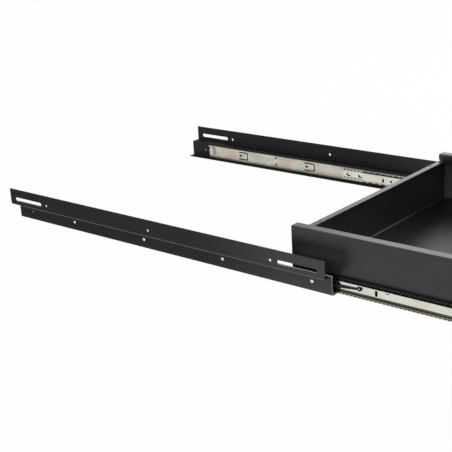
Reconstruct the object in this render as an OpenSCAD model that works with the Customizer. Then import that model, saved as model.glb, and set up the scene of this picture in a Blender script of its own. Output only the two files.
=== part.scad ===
// Rack drawer: an open-topped sheet-steel drawer carried by two ball-bearing slides,
// each slide on a folded bracket that bolts inside a 19-inch rack.
// X runs across the rack, the drawer opens towards -Y, and +Z is up.
// Lengths along the slides are counted forward from the rear ends of the brackets.

/* [Rack] */
// Clear width of the rack opening, outer face to outer face of the brackets
opening_w = 450; // [440:1:470]
// Gap between the bracket web and the drawer side that holds the slide
slide_gap = 10; // [9.6:0.1:12]

/* [Bracket] */
// Length of each bracket
bracket_l = 600; // [540:5:700]
// Height of the upright outer flange above the bend
flange_h = 24.5; // [20:0.5:40]
// Drop of the web below the top of the shelf
web_h = 27.2; // [25.6:0.1:28.6]
// Step from the flange's outer face in to the web's outer face
web_step = 15.8; // [10:0.1:22]
// Width of the lip under the slide
lip_w = 12; // [6:0.5:12]
// Sheet thickness of the bracket
bracket_t = 1.5; // [1:0.1:1.8]
// Length of each fixing slot in the flange
slot_l = 62; // [20:1:80]
// Width of each fixing slot
slot_w = 6; // [4:0.1:8]
// Distance from the bracket's end to the near end of a slot
slot_inset = 11; // [6:1:20]
// Height of the slots and holes above the shelf
slot_z = 8.8; // [6:0.1:12]
// Diameter of the round hole beside each slot and at mid length
flange_hole_d = 4.4; // [3:0.1:7]
// Distance from the bracket's end to the round hole
flange_hole_inset = 84; // [80:1:120]
// Rivets that hold each slide to its bracket
rivet_n = 4; // [3:1:6]
// Diameter of the rivet shanks
rivet_d = 4; // [3:0.1:4.5]
// Diameter of the rivet heads
rivet_head_d = 5.2; // [5:0.1:8]

/* [Slide] */
// Height of the outer and drawer channels
channel_h = 22; // [21.6:0.1:22.4]
// Sheet thickness of the slide members
rail_t = 1; // [0.8:0.05:1.1]
// Diameter of the bearing balls
ball_d = 1.9; // [1.4:0.05:2]
// Height of the intermediate member
inter_h = 15; // [14.6:0.1:15.2]
// Spacing of the ball pockets along a retainer
pocket_pitch = 11.6; // [9:0.1:16]
// Distance from the bracket's rear end to the slide's rear end
slide_inset = 42; // [30:1:60]

/* [Drawer] */
// Height of the drawer's rim above the bottom of the side
side_h = 75.3; // [60:0.1:80]
// Sheet thickness of the drawer
drawer_t = 1.2; // [0.8:0.1:1.4]
// Width of the folded rim on top of each side
rim_w = 15.5; // [8:0.5:20]
// Drop of the lip along the inner edge of the rim
rim_drop = 9; // [6:0.1:14]
// Width of the flange on top of the back panel
back_flange_w = 10.5; // [6:0.5:14]
// Diameter of the two holes in that flange
back_hole_d = 3.2; // [2:0.1:4]
// Distance between the two holes in the back flange
back_hole_span = 290; // [200:5:340]

/* [Front] */
// Width of the 19-inch front panel
panel_w = 482.6; // [480:0.1:500]
// Height of the front panel, two rack units less a working gap
panel_h = 88.1; // [86:0.1:100]
// Thickness of the front panel
panel_t = 3; // [2.5:0.1:5]
// From each end of the panel to the middle of its rack slots
rack_slot_inset = 8.75; // [8:0.05:10]
// From the panel's top and bottom to the middle of its rack slots
rack_slot_rise = 5.95; // [5:0.05:8]
// Length of a rack slot in the panel
rack_slot_l = 10.3; // [8:0.1:11]
// Width of a rack slot in the panel
rack_slot_w = 6.8; // [6:0.1:8]
// Distance between the feet of the handle
handle_span = 128; // [96:1:200]
// How far the handle's bar stands off the panel
handle_reach = 34; // [28:1:50]
// Diameter of the handle's bar
handle_d = 9; // [7:0.5:12]

/* [Motion] */
// How far the drawer has been pulled out, as stored
drawer_travel = 484; // [420:1:500]
// How far the intermediate members have come with it
inter_travel = 326; // [290:1:340]

/* [Hidden] */
$fn = 48;

// Overrun of every cut past the face that it opens
over = 1;
// Flat steps in each folded bend
bend_steps = 6;
// Radius at the middle of the sheet in the bends of each sheet part
bracket_bend_r = 1.75;
rail_bend_r = 1.1;
drawer_bend_r = 1.6;
// Room left for the inside of the drawer's bends
bend_relief = 1.2;
// Clearance between parts of the slide that move past each other
play = 0.3;
// Clearance round a pin or shank in its hole
pin_play = 0.05;

// Positions across the rack, to the right of the middle
rail_x = opening_w / 2 - web_step - bracket_t;
drawer_x = rail_x - slide_gap;
side_in_x = drawer_x - drawer_t;

// Heights: zero is the top of the bracket's shelf
slide_z = -web_h / 2;
lip_top_z = bracket_t - web_h;
drawer_lift = 0.8;
drawer_bottom_z = lip_top_z + drawer_lift;
rim_z = drawer_bottom_z + side_h;
lip_bottom_z = rim_z - rim_drop;
floor_z = drawer_bottom_z + 2 * drawer_t;
panel_z = (drawer_bottom_z + rim_z) / 2;

// Places along the slide, counted forward from the bracket's rear end
outer_end_f = bracket_l - bracket_t;
outer_l = outer_end_f - slide_inset;
bumper_d = 8;
bumper_h = 14.4;
bumper_bore_d = 2;
bumper_inset = 6.5;
bumper_f = slide_inset + bumper_inset;
stop_gap = 0.5;
closed_f = bumper_f + bumper_d / 2 + stop_gap;
inter_f = closed_f + inter_travel;
inter_short = 8;
inter_l = outer_end_f - closed_f - inter_short;
drawer_rail_f = closed_f + drawer_travel;
drawer_rail_short = 3;
drawer_rail_l = outer_end_f - closed_f - drawer_rail_short;
side_overhang = 5.7;
side_f = drawer_rail_f - side_overhang;
panel_gap = 3.8;
front_f = bracket_l + panel_gap + drawer_travel;
drawer_l = front_f - side_f;

// Origin at the middle of the whole part's box
reach_f = front_f + panel_t + handle_reach + handle_d / 2;
origin_f = reach_f / 2;
origin_z = panel_z;

// Slide section: u from the bracket web towards the drawer, v up from mid height
flange_in_v = channel_h / 2 - rail_t;
inter_out_v = inter_h / 2;
inter_in_v = inter_out_v - rail_t;
ball_v = (flange_in_v + inter_out_v) / 2;
channel_d = (slide_gap - rail_t) / 2;
inter_u = slide_gap / 2;
retainer_t = 0.5;
retainer_u = rail_t + play;
retainer_reach = channel_d + play - retainer_u;
inter_edge_u = retainer_u + retainer_t + play;
ball_u = inter_edge_u + play / 2 + ball_d / 2 - retainer_t / 2;
pocket_share = 0.68;
pocket_l = pocket_share * pocket_pitch;
strip_h = 0.7;
leg_v = 4.7;
window_h = 1.9;
plate_l = 40;
plate_dash_n = 6;
plate_dash_l = 4;
crescent_r = 2.8;
crescent_half = 1.8;
crescent_shift = [2.6, 1.9];
crescent_shares = [0.28, 0.857];
crescent_v = -0.9;
outer_retainer_f = inter_f - plate_l;
retainer_short = 9.5;
retainer_l = outer_end_f - retainer_short - outer_retainer_f;
pocket_n = floor((retainer_l - plate_l) / pocket_pitch);
inner_retainer_f = drawer_rail_f + play;

// Details of the outer member's web, counted forward from its rear end
tab_hole_w = 3.6;
tab_hole_l = 5.6;
tab_rivet_step = 12.2;
tab_front = 15.8;
tab_rear = 4.6;
tab_half = 6.3;
tab_r = 2.6;
tab_cut = 2.2;
pair_share = 0.277;
pair_v = 6;
pair_d = 3.8;

// Details of the bracket's web
rivet_end = 30.7;
rivet_rear = 128.2;
rivet_head_t = 1.1;
small_hole_d = 2.6;
small_hole_shares = [0.05, 0.547, 0.789];

// Details of the intermediate member's web, counted forward from its rear end
slot_far = 40.1;
slot_near = 280.8;
web_slot_h = 7;
web_slot_w = 3.6;
near_slot_h = 8;
dot_place = 55.2;
dot_d = 4.2;
low_v = -0.7;
high_v = 1.4;
dash_place = 296.5;
dash_v = 4.3;
dash_l = 5;
dash_h = 1;
boss_d = 6;
boss_v = 0.6;
boss_bore_d = 1.4;
boss_t = 0.4;

// Lock lever on the intermediate member
lever_t = 1;
lever_u = inter_u - rail_t / 2 - play - lever_t;
lever_place = 257.5;
lever_v = 2.8;
lever_ring_r = 3.4;
lever_bore_r = 1.1;
lever_mouth_w = 1.4;
lever_mouth_angle = 120;
lever_tail = 58;
lever_neck_h = 2;
lever_tail_h = 6;
lever_tail_v = -1.6;
pin_head_r = 1.35;
pin_r = lever_bore_r - pin_play;
pin_head_t = 0.4;

// Fixings of the drawer
drawer_rivet_n = 4;
drawer_rivet_end = 40;
drawer_head_t = 0.9;
front_tab_w = 15;
bottom_flange_w = 15;
screw_d = 4;
screw_head_d = 7.4;
screw_head_t = 2.4;
screw_bite = 2;
screw_share = 0.22;
rack_hole_x = panel_w - 2 * rack_slot_inset;
rack_hole_z = panel_h - 2 * rack_slot_rise;
recess_d = 2.6;
recess_depth = 1.2;
recess_sides = 6;
back_inset = 1.2;
back_hole_share = 0.62;
handle_bend_r = 12;
handle_collar_d = 13;
handle_collar_t = 2;
handle_screw_bite = 14;
edge_r = 2;

// Unit vector and its left-hand normal for the leg that starts at point i
function leg(p, i) = (p[i + 1] - p[i]) / norm(p[i + 1] - p[i]);
function left_of(d) = [-d.y, d.x];
function turn(a, b) = a.x * b.y - a.y * b.x;

// Points of one side of a folded sheet that follows path p with square bends of radius r
function bend(p, i, r, off) =
    let (a = leg(p, i - 1), b = leg(p, i), c = p[i] + (b - a) * r, s = turn(a, b))
    [for (k = [0 : bend_steps]) let (w = 90 * k / bend_steps)
        c + (r - s * off) * (a * sin(w) - b * cos(w))];
function side_line(p, r, off) = let (n = len(p)) concat(
    [p[0] + off * left_of(leg(p, 0))],
    [for (i = [1 : n - 2]) each bend(p, i, r, off)],
    [p[n - 1] + off * left_of(leg(p, n - 2))]);
function reversed(q) = [for (i = [len(q) - 1 : -1 : 0]) q[i]];

// Outline of a folded sheet of thickness t along the middle line p
module folded(p, t, r) {
    polygon(concat(side_line(p, r, t / 2), reversed(side_line(p, r, -t / 2))));
}

// Moves the whole part so that its origin is at the middle of its box
module placed() {
    translate([0, origin_f, -origin_z]) children();
}

// Runs an outline in X and Z forward over length l, starting at distance f
module run(f, l) {
    translate([0, -f, 0]) rotate([90, 0, 0]) linear_extrude(l) children();
}

// The left-hand copy of what is drawn on the right
module on_left() {
    mirror([1, 0, 0]) children();
}

// Slide frame on the right: x is u, y is forward along the slide, z is v
module slide_frame() {
    translate([rail_x, 0, slide_z]) rotate([0, 0, 180]) children();
}

// Box in the slide frame from one corner to the other
module block(a, b) {
    translate(a) cube(b - a);
}

// Round bar along X from x0 to x1
module bar_x(r, x0, x1, y, z) {
    translate([x0, y, z]) rotate([0, 90, 0]) cylinder(h = x1 - x0, r = r);
}

// Round bar along Y from y0 to y1
module bar_y(r, y0, y1, x, z) {
    translate([x, y1, z]) rotate([90, 0, 0]) cylinder(h = y1 - y0, r = r);
}

// Round-ended slot cutter along Y, cutting through X
module slot_cut(x0, x1, y0, y1, z, w) {
    bar_x(w / 2, x0, x1, y0 + w / 2, z);
    bar_x(w / 2, x0, x1, y1 - w / 2, z);
    block([x0, y0 + w / 2, z - w / 2], [x1, y1 - w / 2, z + w / 2]);
}

// Upright round-ended slot cutter, cutting through X
module upright_cut(x0, x1, y, z, h, w) {
    bar_x(w / 2, x0, x1, y, z - h / 2 + w / 2);
    bar_x(w / 2, x0, x1, y, z + h / 2 - w / 2);
    block([x0, y - w / 2, z - h / 2 + w / 2], [x1, y + w / 2, z + h / 2 - w / 2]);
}

// Forward places of the slide rivets on the bracket
function rivet_f(i) =
    rivet_rear + i * (bracket_l - rivet_rear - rivet_end) / (rivet_n - 1);
function drawer_rivet_f(i) =
    drawer_rail_f + drawer_rivet_end
    + i * (drawer_rail_l - 2 * drawer_rivet_end) / (drawer_rivet_n - 1);

// Z-shaped bracket of folded sheet, with fixing slots in its flange
module bracket() {
    half = bracket_t / 2;
    flange_x = opening_w / 2 - half;
    web_x = rail_x + half;
    lip_z = lip_top_z - half;
    path = [
        [flange_x, flange_h], [flange_x, -half], [web_x, -half],
        [web_x, lip_z], [rail_x + bracket_t - lip_w, lip_z]
    ];
    in_x = opening_w / 2 - bracket_t - over;
    out_x = opening_w / 2 + over;
    difference() {
        run(0, bracket_l) folded(path, bracket_t, bracket_bend_r);
        slot_cut(in_x, out_x, -slot_inset - slot_l, -slot_inset, slot_z, slot_w);
        slot_cut(in_x, out_x, slot_inset - bracket_l, slot_inset - bracket_l + slot_l,
            slot_z, slot_w);
        for (f = [flange_hole_inset, bracket_l / 2, bracket_l - flange_hole_inset])
            bar_x(flange_hole_d / 2, in_x, out_x, -f, slot_z);
        for (i = [0 : rivet_n - 1])
            bar_x(rivet_d / 2, rail_x - over, rail_x + bracket_t + over, -rivet_f(i), slide_z);
        for (share = small_hole_shares)
            bar_x(small_hole_d / 2, rail_x - over, rail_x + bracket_t + over,
                -share * bracket_l, slide_z);
    }
}

// Rivets through the bracket's web and the outer member
module bracket_rivets() {
    slide_frame() for (i = [0 : rivet_n - 1])
        translate([0, rivet_f(i), 0]) {
            bar_x(rivet_d / 2, -bracket_t, rail_t, 0, 0);
            rivet_head(-bracket_t, rivet_head_d, rivet_head_t);
        }
}

// Low domed head that stands on the plane x and points to -X
module rivet_head(x, d, t) {
    dome_r = (t * t + d * d / 4) / (2 * t);
    intersection() {
        translate([x - t + dome_r, 0, 0]) sphere(dome_r);
        bar_x(d / 2 + over, x - t - over, x, 0, 0);
    }
}

// C-shaped channel outline, open towards +X, with its back on x = 0
module channel_outline() {
    half = rail_t / 2;
    v = channel_h / 2 - half;
    folded([[channel_d, v], [half, v], [half, -v], [channel_d, -v]], rail_t, rail_bend_r);
}

// Runs an outline in u and v over length l in the slide frame
module slide_run(f, l) {
    translate([0, f + l, 0]) rotate([90, 0, 0]) linear_extrude(l) children();
}

// Tongue in f and v, from a square rear end to rounded front corners
module tongue(rear, front, half, r) {
    block2([-rear, -half], [front - r, half]);
    block2([-rear, r - half], [front, half - r]);
    for (side = [-1, 1])
        translate([front - r, side * (half - r)]) circle(r);
}

// Cut round three sides of a tab whose hole is at distance f
module tab_slit(f) {
    c = tab_cut / 2;
    translate([-over, f, 0]) rotate([90, 0, 90]) linear_extrude(rail_t + 2 * over)
        difference() {
            tongue(tab_rear, tab_front + c, tab_half + c, tab_r + c);
            tongue(tab_rear + over, tab_front - c, tab_half - c, tab_r - c);
        }
}

// Short slot in a tab, centred at distance f
module tab_hole(f) {
    slot_cut(-over, rail_t + over, f - tab_hole_l / 2, f + tab_hole_l / 2, 0, tab_hole_w);
}

// Outer member: the channel that is riveted to the bracket
module outer_member() {
    slide_frame() difference() {
        slide_run(slide_inset, outer_l) channel_outline();
        for (i = [0 : rivet_n - 1])
            bar_x(rivet_d / 2, -over, rail_t + over, rivet_f(i), 0);
        for (i = [0 : rivet_n - 1]) {
            tab_slit(rivet_f(i) - tab_rivet_step);
            tab_hole(rivet_f(i) - tab_rivet_step);
        }
        for (v = [-pair_v, pair_v])
            bar_x(pair_d / 2, -over, rail_t + over, slide_inset + pair_share * outer_l, v);
    }
}

// Upright nylon bumper with rounded ends and a bore, at the rear of the outer member
module rear_bumper() {
    half = (bumper_h - bumper_d) / 2;
    slide_frame() difference() {
        union() {
            for (v = [-half, half])
                bar_x(bumper_d / 2, rail_t, channel_d, bumper_f, v);
            block([rail_t, bumper_f - bumper_d / 2, -half],
                [channel_d, bumper_f + bumper_d / 2, half]);
        }
        bar_x(bumper_bore_d / 2, rail_t - over, channel_d + over, bumper_f, 0);
    }
}

// Ball retainer outline: an upright leg beside the web and a leg between the races
module retainer_leg() {
    block2([retainer_u, leg_v], [retainer_u + retainer_t, ball_v + retainer_t / 2]);
    block2([retainer_u, ball_v - retainer_t / 2],
        [retainer_u + retainer_reach, ball_v + retainer_t / 2]);
}

// Rectangle from one corner to the other
module block2(a, b) {
    translate(a) square(b - a);
}

// Forward places of the ball pockets' centres on a retainer, after its plate
function pocket_f(i) = plate_l + (i + 0.5) * (retainer_l - plate_l) / pocket_n;

// Ball retainer: a plate at its rear end and a toothed strip along each race
module retainer() {
    difference() {
        union() {
            slide_run(0, retainer_l) retainer_leg();
            slide_run(0, retainer_l) mirror([0, 1]) retainer_leg();
            block([retainer_u, 0, -ball_v], [retainer_u + retainer_t, plate_l, ball_v]);
        }
        for (i = [0 : pocket_n - 1])
            for (s = [-1, 1])
                pocket(pocket_f(i), s);
        for (c = crescent_shares)
            crescent(c * plate_l);
        for (i = [0 : plate_dash_n - 1])
            for (s = [-1, 1])
                window((i + 0.5) * plate_l / plate_dash_n, plate_dash_l, s);
    }
}

// Opening round one ball in the leg between the races, and a window in the upright leg
module pocket(f, s) {
    v = s * ball_v;
    block([retainer_u + retainer_t, f - pocket_l / 2, v - retainer_t],
        [retainer_u + retainer_reach + over, f + pocket_l / 2, v + retainer_t]);
    window(f, pocket_l, s);
}

// Window in the upright leg or the plate, above the strip along its edge
module window(f, l, s) {
    v = s * (leg_v + strip_h + window_h / 2);
    block([retainer_u - over, f - l / 2, v - window_h / 2],
        [retainer_u + retainer_t + over, f + l / 2, v + window_h / 2]);
}

// Crescent-shaped cut in the plate
module crescent(f) {
    translate([retainer_u - over, f, crescent_v]) rotate([90, 0, 90])
        linear_extrude(retainer_t + 2 * over)
            difference() {
                long_round();
                translate(crescent_shift) long_round();
            }
}

// Round-ended outline that both edges of a crescent follow
module long_round() {
    for (side = [-1, 1])
        translate([side * crescent_half, 0]) circle(crescent_r);
    block2([-crescent_half, -crescent_r], [crescent_half, crescent_r]);
}

// Balls of one retainer
module balls() {
    for (i = [0 : pocket_n - 1])
        for (s = [-1, 1])
            translate([ball_u, pocket_f(i), s * ball_v]) sphere(ball_d / 2);
}

// The outer retainer lies in the outer member
module outer_place() {
    slide_frame() translate([0, outer_retainer_f, 0]) children();
}

// The inner retainer is turned over and lies in the drawer member
module inner_place() {
    slide_frame() translate([slide_gap, inner_retainer_f, 0]) mirror([1, 0, 0]) children();
}

// Intermediate member: an I-shaped rail between the two channels
module intermediate_member() {
    web_in = inter_u - rail_t / 2;
    web_out = inter_u + rail_t / 2;
    slide_frame() translate([0, inter_f, 0]) {
        difference() {
            slide_run(0, inter_l) {
                block2([web_in, -inter_out_v], [web_out, inter_out_v]);
                block2([inter_edge_u, inter_in_v], [slide_gap - inter_edge_u, inter_out_v]);
                block2([inter_edge_u, -inter_out_v], [slide_gap - inter_edge_u, -inter_in_v]);
            }
            upright_cut(web_in - over, web_out + over, slot_far, low_v, web_slot_h, web_slot_w);
            upright_cut(web_in - over, web_out + over, slot_near, high_v,
                near_slot_h, web_slot_w);
            bar_x(dot_d / 2, web_in - over, web_out + over, dot_place, low_v);
            bar_x(pin_r, web_in - over, web_out + over, lever_place, lever_v);
            slot_cut(web_in - over, web_out + over, dash_place - dash_l / 2,
                dash_place + dash_l / 2, dash_v, dash_h);
            bar_x(boss_bore_d / 2, web_in - over, web_out + over, dash_place, boss_v);
        }
        difference() {
            bar_x(boss_d / 2, web_in - boss_t, web_in, dash_place, boss_v);
            bar_x(boss_bore_d / 2, web_in - over, web_out, dash_place, boss_v);
        }
    }
}

// Lock lever: an open ring round its pin, with a tail that widens to the rear
module lock_lever() {
    slide_frame() translate([lever_u, inter_f + lever_place, lever_v])
        rotate([90, 0, 90]) linear_extrude(lever_t)
            difference() {
                union() {
                    circle(lever_ring_r);
                    polygon([
                        [-lever_bore_r, 0],
                        [-lever_tail, lever_tail_v + lever_tail_h / 2 - lever_v],
                        [-lever_tail, lever_tail_v - lever_tail_h / 2 - lever_v],
                        [-lever_bore_r, -lever_neck_h]
                    ]);
                }
                circle(lever_bore_r);
                rotate(lever_mouth_angle)
                    translate([0, -lever_mouth_w / 2]) square([lever_ring_r + over, lever_mouth_w]);
            }
}

// Pin that the lever turns on, fixed in the intermediate member
module lever_pin() {
    slide_frame() translate([0, inter_f + lever_place, lever_v]) {
        bar_x(pin_r, lever_u - pin_play, inter_u + rail_t / 2, 0, 0);
        bar_x(pin_head_r, lever_u - play - pin_head_t, lever_u - pin_play, 0, 0);
    }
}

// Drawer member: the channel that is riveted to the drawer's side
module drawer_member() {
    slide_frame() difference() {
        translate([slide_gap, 0, 0]) mirror([1, 0, 0])
            slide_run(drawer_rail_f, drawer_rail_l) channel_outline();
        for (i = [0 : drawer_rivet_n - 1])
            bar_x(rivet_d / 2, slide_gap - rail_t - over, slide_gap + over,
                drawer_rivet_f(i), 0);
    }
}

// Rivets through the drawer member and the drawer's side, with their heads inside
module drawer_rivets() {
    slide_frame() for (i = [0 : drawer_rivet_n - 1])
        translate([slide_gap, drawer_rivet_f(i), 0]) {
            bar_x(rivet_d / 2, -rail_t, drawer_t, 0, 0);
            mirror([1, 0, 0]) rivet_head(-drawer_t, rivet_head_d, drawer_head_t);
        }
}

// Floor of the drawer, lapped over the side flanges and clear of their bends
module drawer_floor() {
    rear = side_f + back_inset + drawer_t;
    x = side_in_x - bend_relief;
    block([-x, -front_f, floor_z - drawer_t], [x, -rear, floor_z]);
}

// Height of the upper (s = 1) and lower (s = -1) screws of the front panel
function screw_z(s) =
    (floor_z + lip_bottom_z) / 2 + s * (lip_bottom_z - floor_z) * (0.5 - screw_share);

// Drawer side with a folded rim, a flange under the floor and a tab at the front
module drawer_side() {
    half = drawer_t / 2;
    x = drawer_x - half;
    top = rim_z - half;
    lip_x = drawer_x - rim_w + half;
    low = drawer_bottom_z + half;
    path = [
        [side_in_x - bottom_flange_w, low], [x, low], [x, top], [lip_x, top],
        [lip_x, lip_bottom_z]
    ];
    difference() {
        union() {
            run(side_f, drawer_l) folded(path, drawer_t, drawer_bend_r);
            block([side_in_x - front_tab_w, -front_f, floor_z],
                [side_in_x + half, drawer_t - front_f, lip_bottom_z]);
        }
        for (s = [-1, 1])
            bar_y(screw_d / 2, -front_f - over, drawer_t - front_f + over,
                side_in_x - front_tab_w / 2, screw_z(s));
        for (i = [0 : drawer_rivet_n - 1])
            bar_x(rivet_d / 2, side_in_x - over, drawer_x + over, -drawer_rivet_f(i), slide_z);
    }
}

// Back panel with its top edge folded forward
module drawer_back() {
    rear = side_f + back_inset;
    half = drawer_t / 2;
    path = [
        [rear + half, drawer_bottom_z + drawer_t], [rear + half, lip_bottom_z - half],
        [rear + back_flange_w, lip_bottom_z - half]
    ];
    difference() {
        mirror([0, 1, 0]) translate([-side_in_x, 0, 0]) rotate([90, 0, 90])
            linear_extrude(2 * side_in_x) folded(path, drawer_t, drawer_bend_r);
        for (s = [-1, 1])
            translate([s * back_hole_span / 2, -rear - back_flange_w * back_hole_share,
                lip_bottom_z - drawer_t - over])
                cylinder(h = drawer_t + 2 * over, r = back_hole_d / 2);
        for (s = [-1, 1])
            translate([s * side_in_x - bend_relief, -rear - drawer_t - over,
                drawer_bottom_z + drawer_t - over])
                cube([2 * bend_relief, drawer_t + 2 * over, bend_relief + over]);
    }
}

// Front panel with rounded corners, four rack slots and blind holes for the screws
module front_panel() {
    w = panel_w / 2;
    h = panel_h / 2;
    difference() {
        translate([0, -front_f, panel_z]) rotate([90, 0, 0]) linear_extrude(panel_t)
            union() {
                square([2 * (w - edge_r), 2 * h], center = true);
                square([2 * w, 2 * (h - edge_r)], center = true);
                for (sx = [-1, 1])
                    for (sz = [-1, 1])
                        translate([sx * (w - edge_r), sz * (h - edge_r)]) circle(edge_r);
            }
        for (sx = [-1, 1])
            for (sz = [-1, 1])
                rack_slot(sx * rack_hole_x / 2, panel_z + sz * rack_hole_z / 2);
        for (sx = [-1, 1])
            for (sz = [-1, 1])
                bar_y(screw_d / 2, -front_f - screw_bite, over - front_f,
                    sx * (side_in_x - front_tab_w / 2), screw_z(sz));
        for (sx = [-1, 1])
            bar_y(screw_d / 2, -front_f - panel_t - over, over - front_f,
                sx * handle_span / 2, panel_z);
    }
}

// Round-ended slot cutter across the panel
module rack_slot(x, z) {
    half = (rack_slot_l - rack_slot_w) / 2;
    y0 = -front_f - panel_t - over;
    y1 = over - front_f;
    bar_y(rack_slot_w / 2, y0, y1, x - half, z);
    bar_y(rack_slot_w / 2, y0, y1, x + half, z);
    block([x - half, y0, z - rack_slot_w / 2], [x + half, y1, z + rack_slot_w / 2]);
}

// Pan-head screw along Y with its head behind the plane y = 0 and its tip at -l
module pan_screw(l) {
    difference() {
        union() {
            bar_y(screw_d / 2, -l, 0, 0, 0);
            bar_y(screw_head_d / 2, 0, screw_head_t, 0, 0);
        }
        translate([0, screw_head_t + over, 0]) rotate([90, 0, 0])
            cylinder(h = recess_depth + over, r = recess_d / 2, $fn = recess_sides);
    }
}

// Screws that hold the front panel to the tabs of the sides
module front_panel_screws() {
    for (sx = [-1, 1])
        for (sz = [-1, 1])
            translate([sx * (side_in_x - front_tab_w / 2), drawer_t - front_f, screw_z(sz)])
                pan_screw(drawer_t + screw_bite);
}

// Bow handle with a collar at each foot
module pull_handle() {
    r = handle_d / 2;
    foot = -front_f - panel_t;
    bar = foot - handle_reach;
    difference() {
        union() {
            for (s = [-1, 1]) {
                bar_y(r, bar + handle_bend_r, foot, s * handle_span / 2, panel_z);
                bar_y(handle_collar_d / 2, foot - handle_collar_t, foot,
                    s * handle_span / 2, panel_z);
            }
            bar_x(r, handle_bend_r - handle_span / 2, handle_span / 2 - handle_bend_r,
                bar, panel_z);
            for (s = [0, 1])
                mirror([s, 0, 0]) handle_corner(bar);
        }
        for (s = [-1, 1])
            bar_y(screw_d / 2, foot - handle_screw_bite, foot + over,
                s * handle_span / 2, panel_z);
    }
}

// Rounded corner between the bar and a leg of the handle
module handle_corner(bar) {
    translate([handle_span / 2 - handle_bend_r, bar + handle_bend_r, panel_z])
        rotate([0, 0, -90]) rotate_extrude(angle = 90)
            translate([handle_bend_r, 0]) circle(handle_d / 2);
}

// Screws through the panel into the feet of the handle
module handle_screws() {
    for (s = [-1, 1])
        translate([s * handle_span / 2, -front_f, panel_z])
            pan_screw(panel_t + handle_screw_bite);
}

module steel_black() {
    color([0.13, 0.13, 0.135]) placed() children();
}

module steel_drawer() {
    color([0.2, 0.2, 0.21]) placed() children();
}

module zinc() {
    color([0.84, 0.83, 0.76]) placed() children();
}

module bright() {
    color([0.75, 0.75, 0.77]) placed() children();
}

module black_plastic() {
    color([0.05, 0.05, 0.05]) placed() children();
}

steel_black() on_left() bracket();  // left_bracket
steel_black() bracket();  // right_bracket
bright() on_left() bracket_rivets();  // left_bracket_rivets
bright() bracket_rivets();  // right_bracket_rivets
zinc() on_left() outer_member();  // left_outer_member
zinc() outer_member();  // right_outer_member
black_plastic() on_left() rear_bumper();  // left_rear_bumper
black_plastic() rear_bumper();  // right_rear_bumper
zinc() on_left() outer_place() retainer();  // left_outer_retainer
zinc() outer_place() retainer();  // right_outer_retainer
bright() on_left() outer_place() balls();  // left_outer_balls
bright() outer_place() balls();  // right_outer_balls
zinc() on_left() intermediate_member();  // left_intermediate_member
zinc() intermediate_member();  // right_intermediate_member
black_plastic() on_left() lock_lever();  // left_lock_lever
black_plastic() lock_lever();  // right_lock_lever
bright() on_left() lever_pin();  // left_lever_pin
bright() lever_pin();  // right_lever_pin
zinc() on_left() inner_place() retainer();  // left_inner_retainer
zinc() inner_place() retainer();  // right_inner_retainer
bright() on_left() inner_place() balls();  // left_inner_balls
bright() inner_place() balls();  // right_inner_balls
zinc() on_left() drawer_member();  // left_drawer_member
zinc() drawer_member();  // right_drawer_member
bright() on_left() drawer_rivets();  // left_drawer_rivets
bright() drawer_rivets();  // right_drawer_rivets
steel_drawer() drawer_floor();
steel_drawer() on_left() drawer_side();  // drawer_left_side
steel_drawer() drawer_side();  // drawer_right_side
steel_drawer() drawer_back();
steel_black() front_panel();
bright() front_panel_screws();
steel_black() pull_handle();
bright() handle_screws();
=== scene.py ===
# %% [markdown]
# # A rack drawer, pulled out of its slides
# The drawer is a black steel box on a pair of ball slides, which hang on two brackets inside a
# 19-inch rack. The exact sheet metal comes from the imported CAD model, so Blender's work here is
# to dress it: painted and plated finishes with their wear, light and shade painted into several
# of their colours, three thin pieces, and light.
# Everything is in metres, in the frame of the CAD model: X across the rack, Y towards its back
# and Z up.

# %% Load the imported model
import math

import bmesh
import bpy
from mathutils import Euler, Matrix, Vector


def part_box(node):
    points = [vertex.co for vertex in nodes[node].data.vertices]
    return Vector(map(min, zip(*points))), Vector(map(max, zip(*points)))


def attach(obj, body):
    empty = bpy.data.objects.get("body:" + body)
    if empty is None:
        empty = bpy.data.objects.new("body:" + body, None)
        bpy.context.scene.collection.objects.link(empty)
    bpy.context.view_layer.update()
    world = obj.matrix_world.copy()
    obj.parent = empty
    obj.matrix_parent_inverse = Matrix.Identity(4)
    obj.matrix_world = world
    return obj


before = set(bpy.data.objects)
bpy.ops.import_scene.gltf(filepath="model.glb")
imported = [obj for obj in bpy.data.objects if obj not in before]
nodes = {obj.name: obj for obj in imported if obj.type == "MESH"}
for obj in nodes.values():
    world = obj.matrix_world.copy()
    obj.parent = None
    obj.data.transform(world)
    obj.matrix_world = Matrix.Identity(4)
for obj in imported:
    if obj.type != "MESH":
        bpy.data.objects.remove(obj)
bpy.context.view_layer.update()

# %% [markdown]
# ## The camera
# The photograph was taken from the left and above, from about a metre and a half away. The
# place and the angles below are those of a pinhole camera fitted to the corners, slots and
# rivets that can be seen. Focal length and sensor width only matter as a ratio, so the sensor
# keeps the usual 36 mm.

# %% Place the camera
CAMERA_PLACE = Vector((-1.17559, -0.70848, 0.46923))
CAMERA_ANGLES = [math.radians(a) for a in (70.736, 3.233, -50.102)]
SENSOR_MM = 36
FOCAL_MM = 81.737

camera = bpy.data.objects.new("camera", bpy.data.cameras.new("camera"))
bpy.context.scene.collection.objects.link(camera)
camera.location = CAMERA_PLACE
camera.rotation_euler = Euler(CAMERA_ANGLES)
camera.data.sensor_width = SENSOR_MM
camera.data.lens = FOCAL_MM
bpy.context.scene.camera = camera
print("camera", round(camera.location.length, 2), "m from the middle of the model")

# %% [markdown]
# ## Shader maths as plain Python
# Shader networks get long when every sum is a node made by hand. A small class around a
# socket lets the sums be written as Python: `1 - mask * 0.3` adds its own Math nodes. A second
# class holds one material and adds every other kind of node through a single method.

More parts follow.
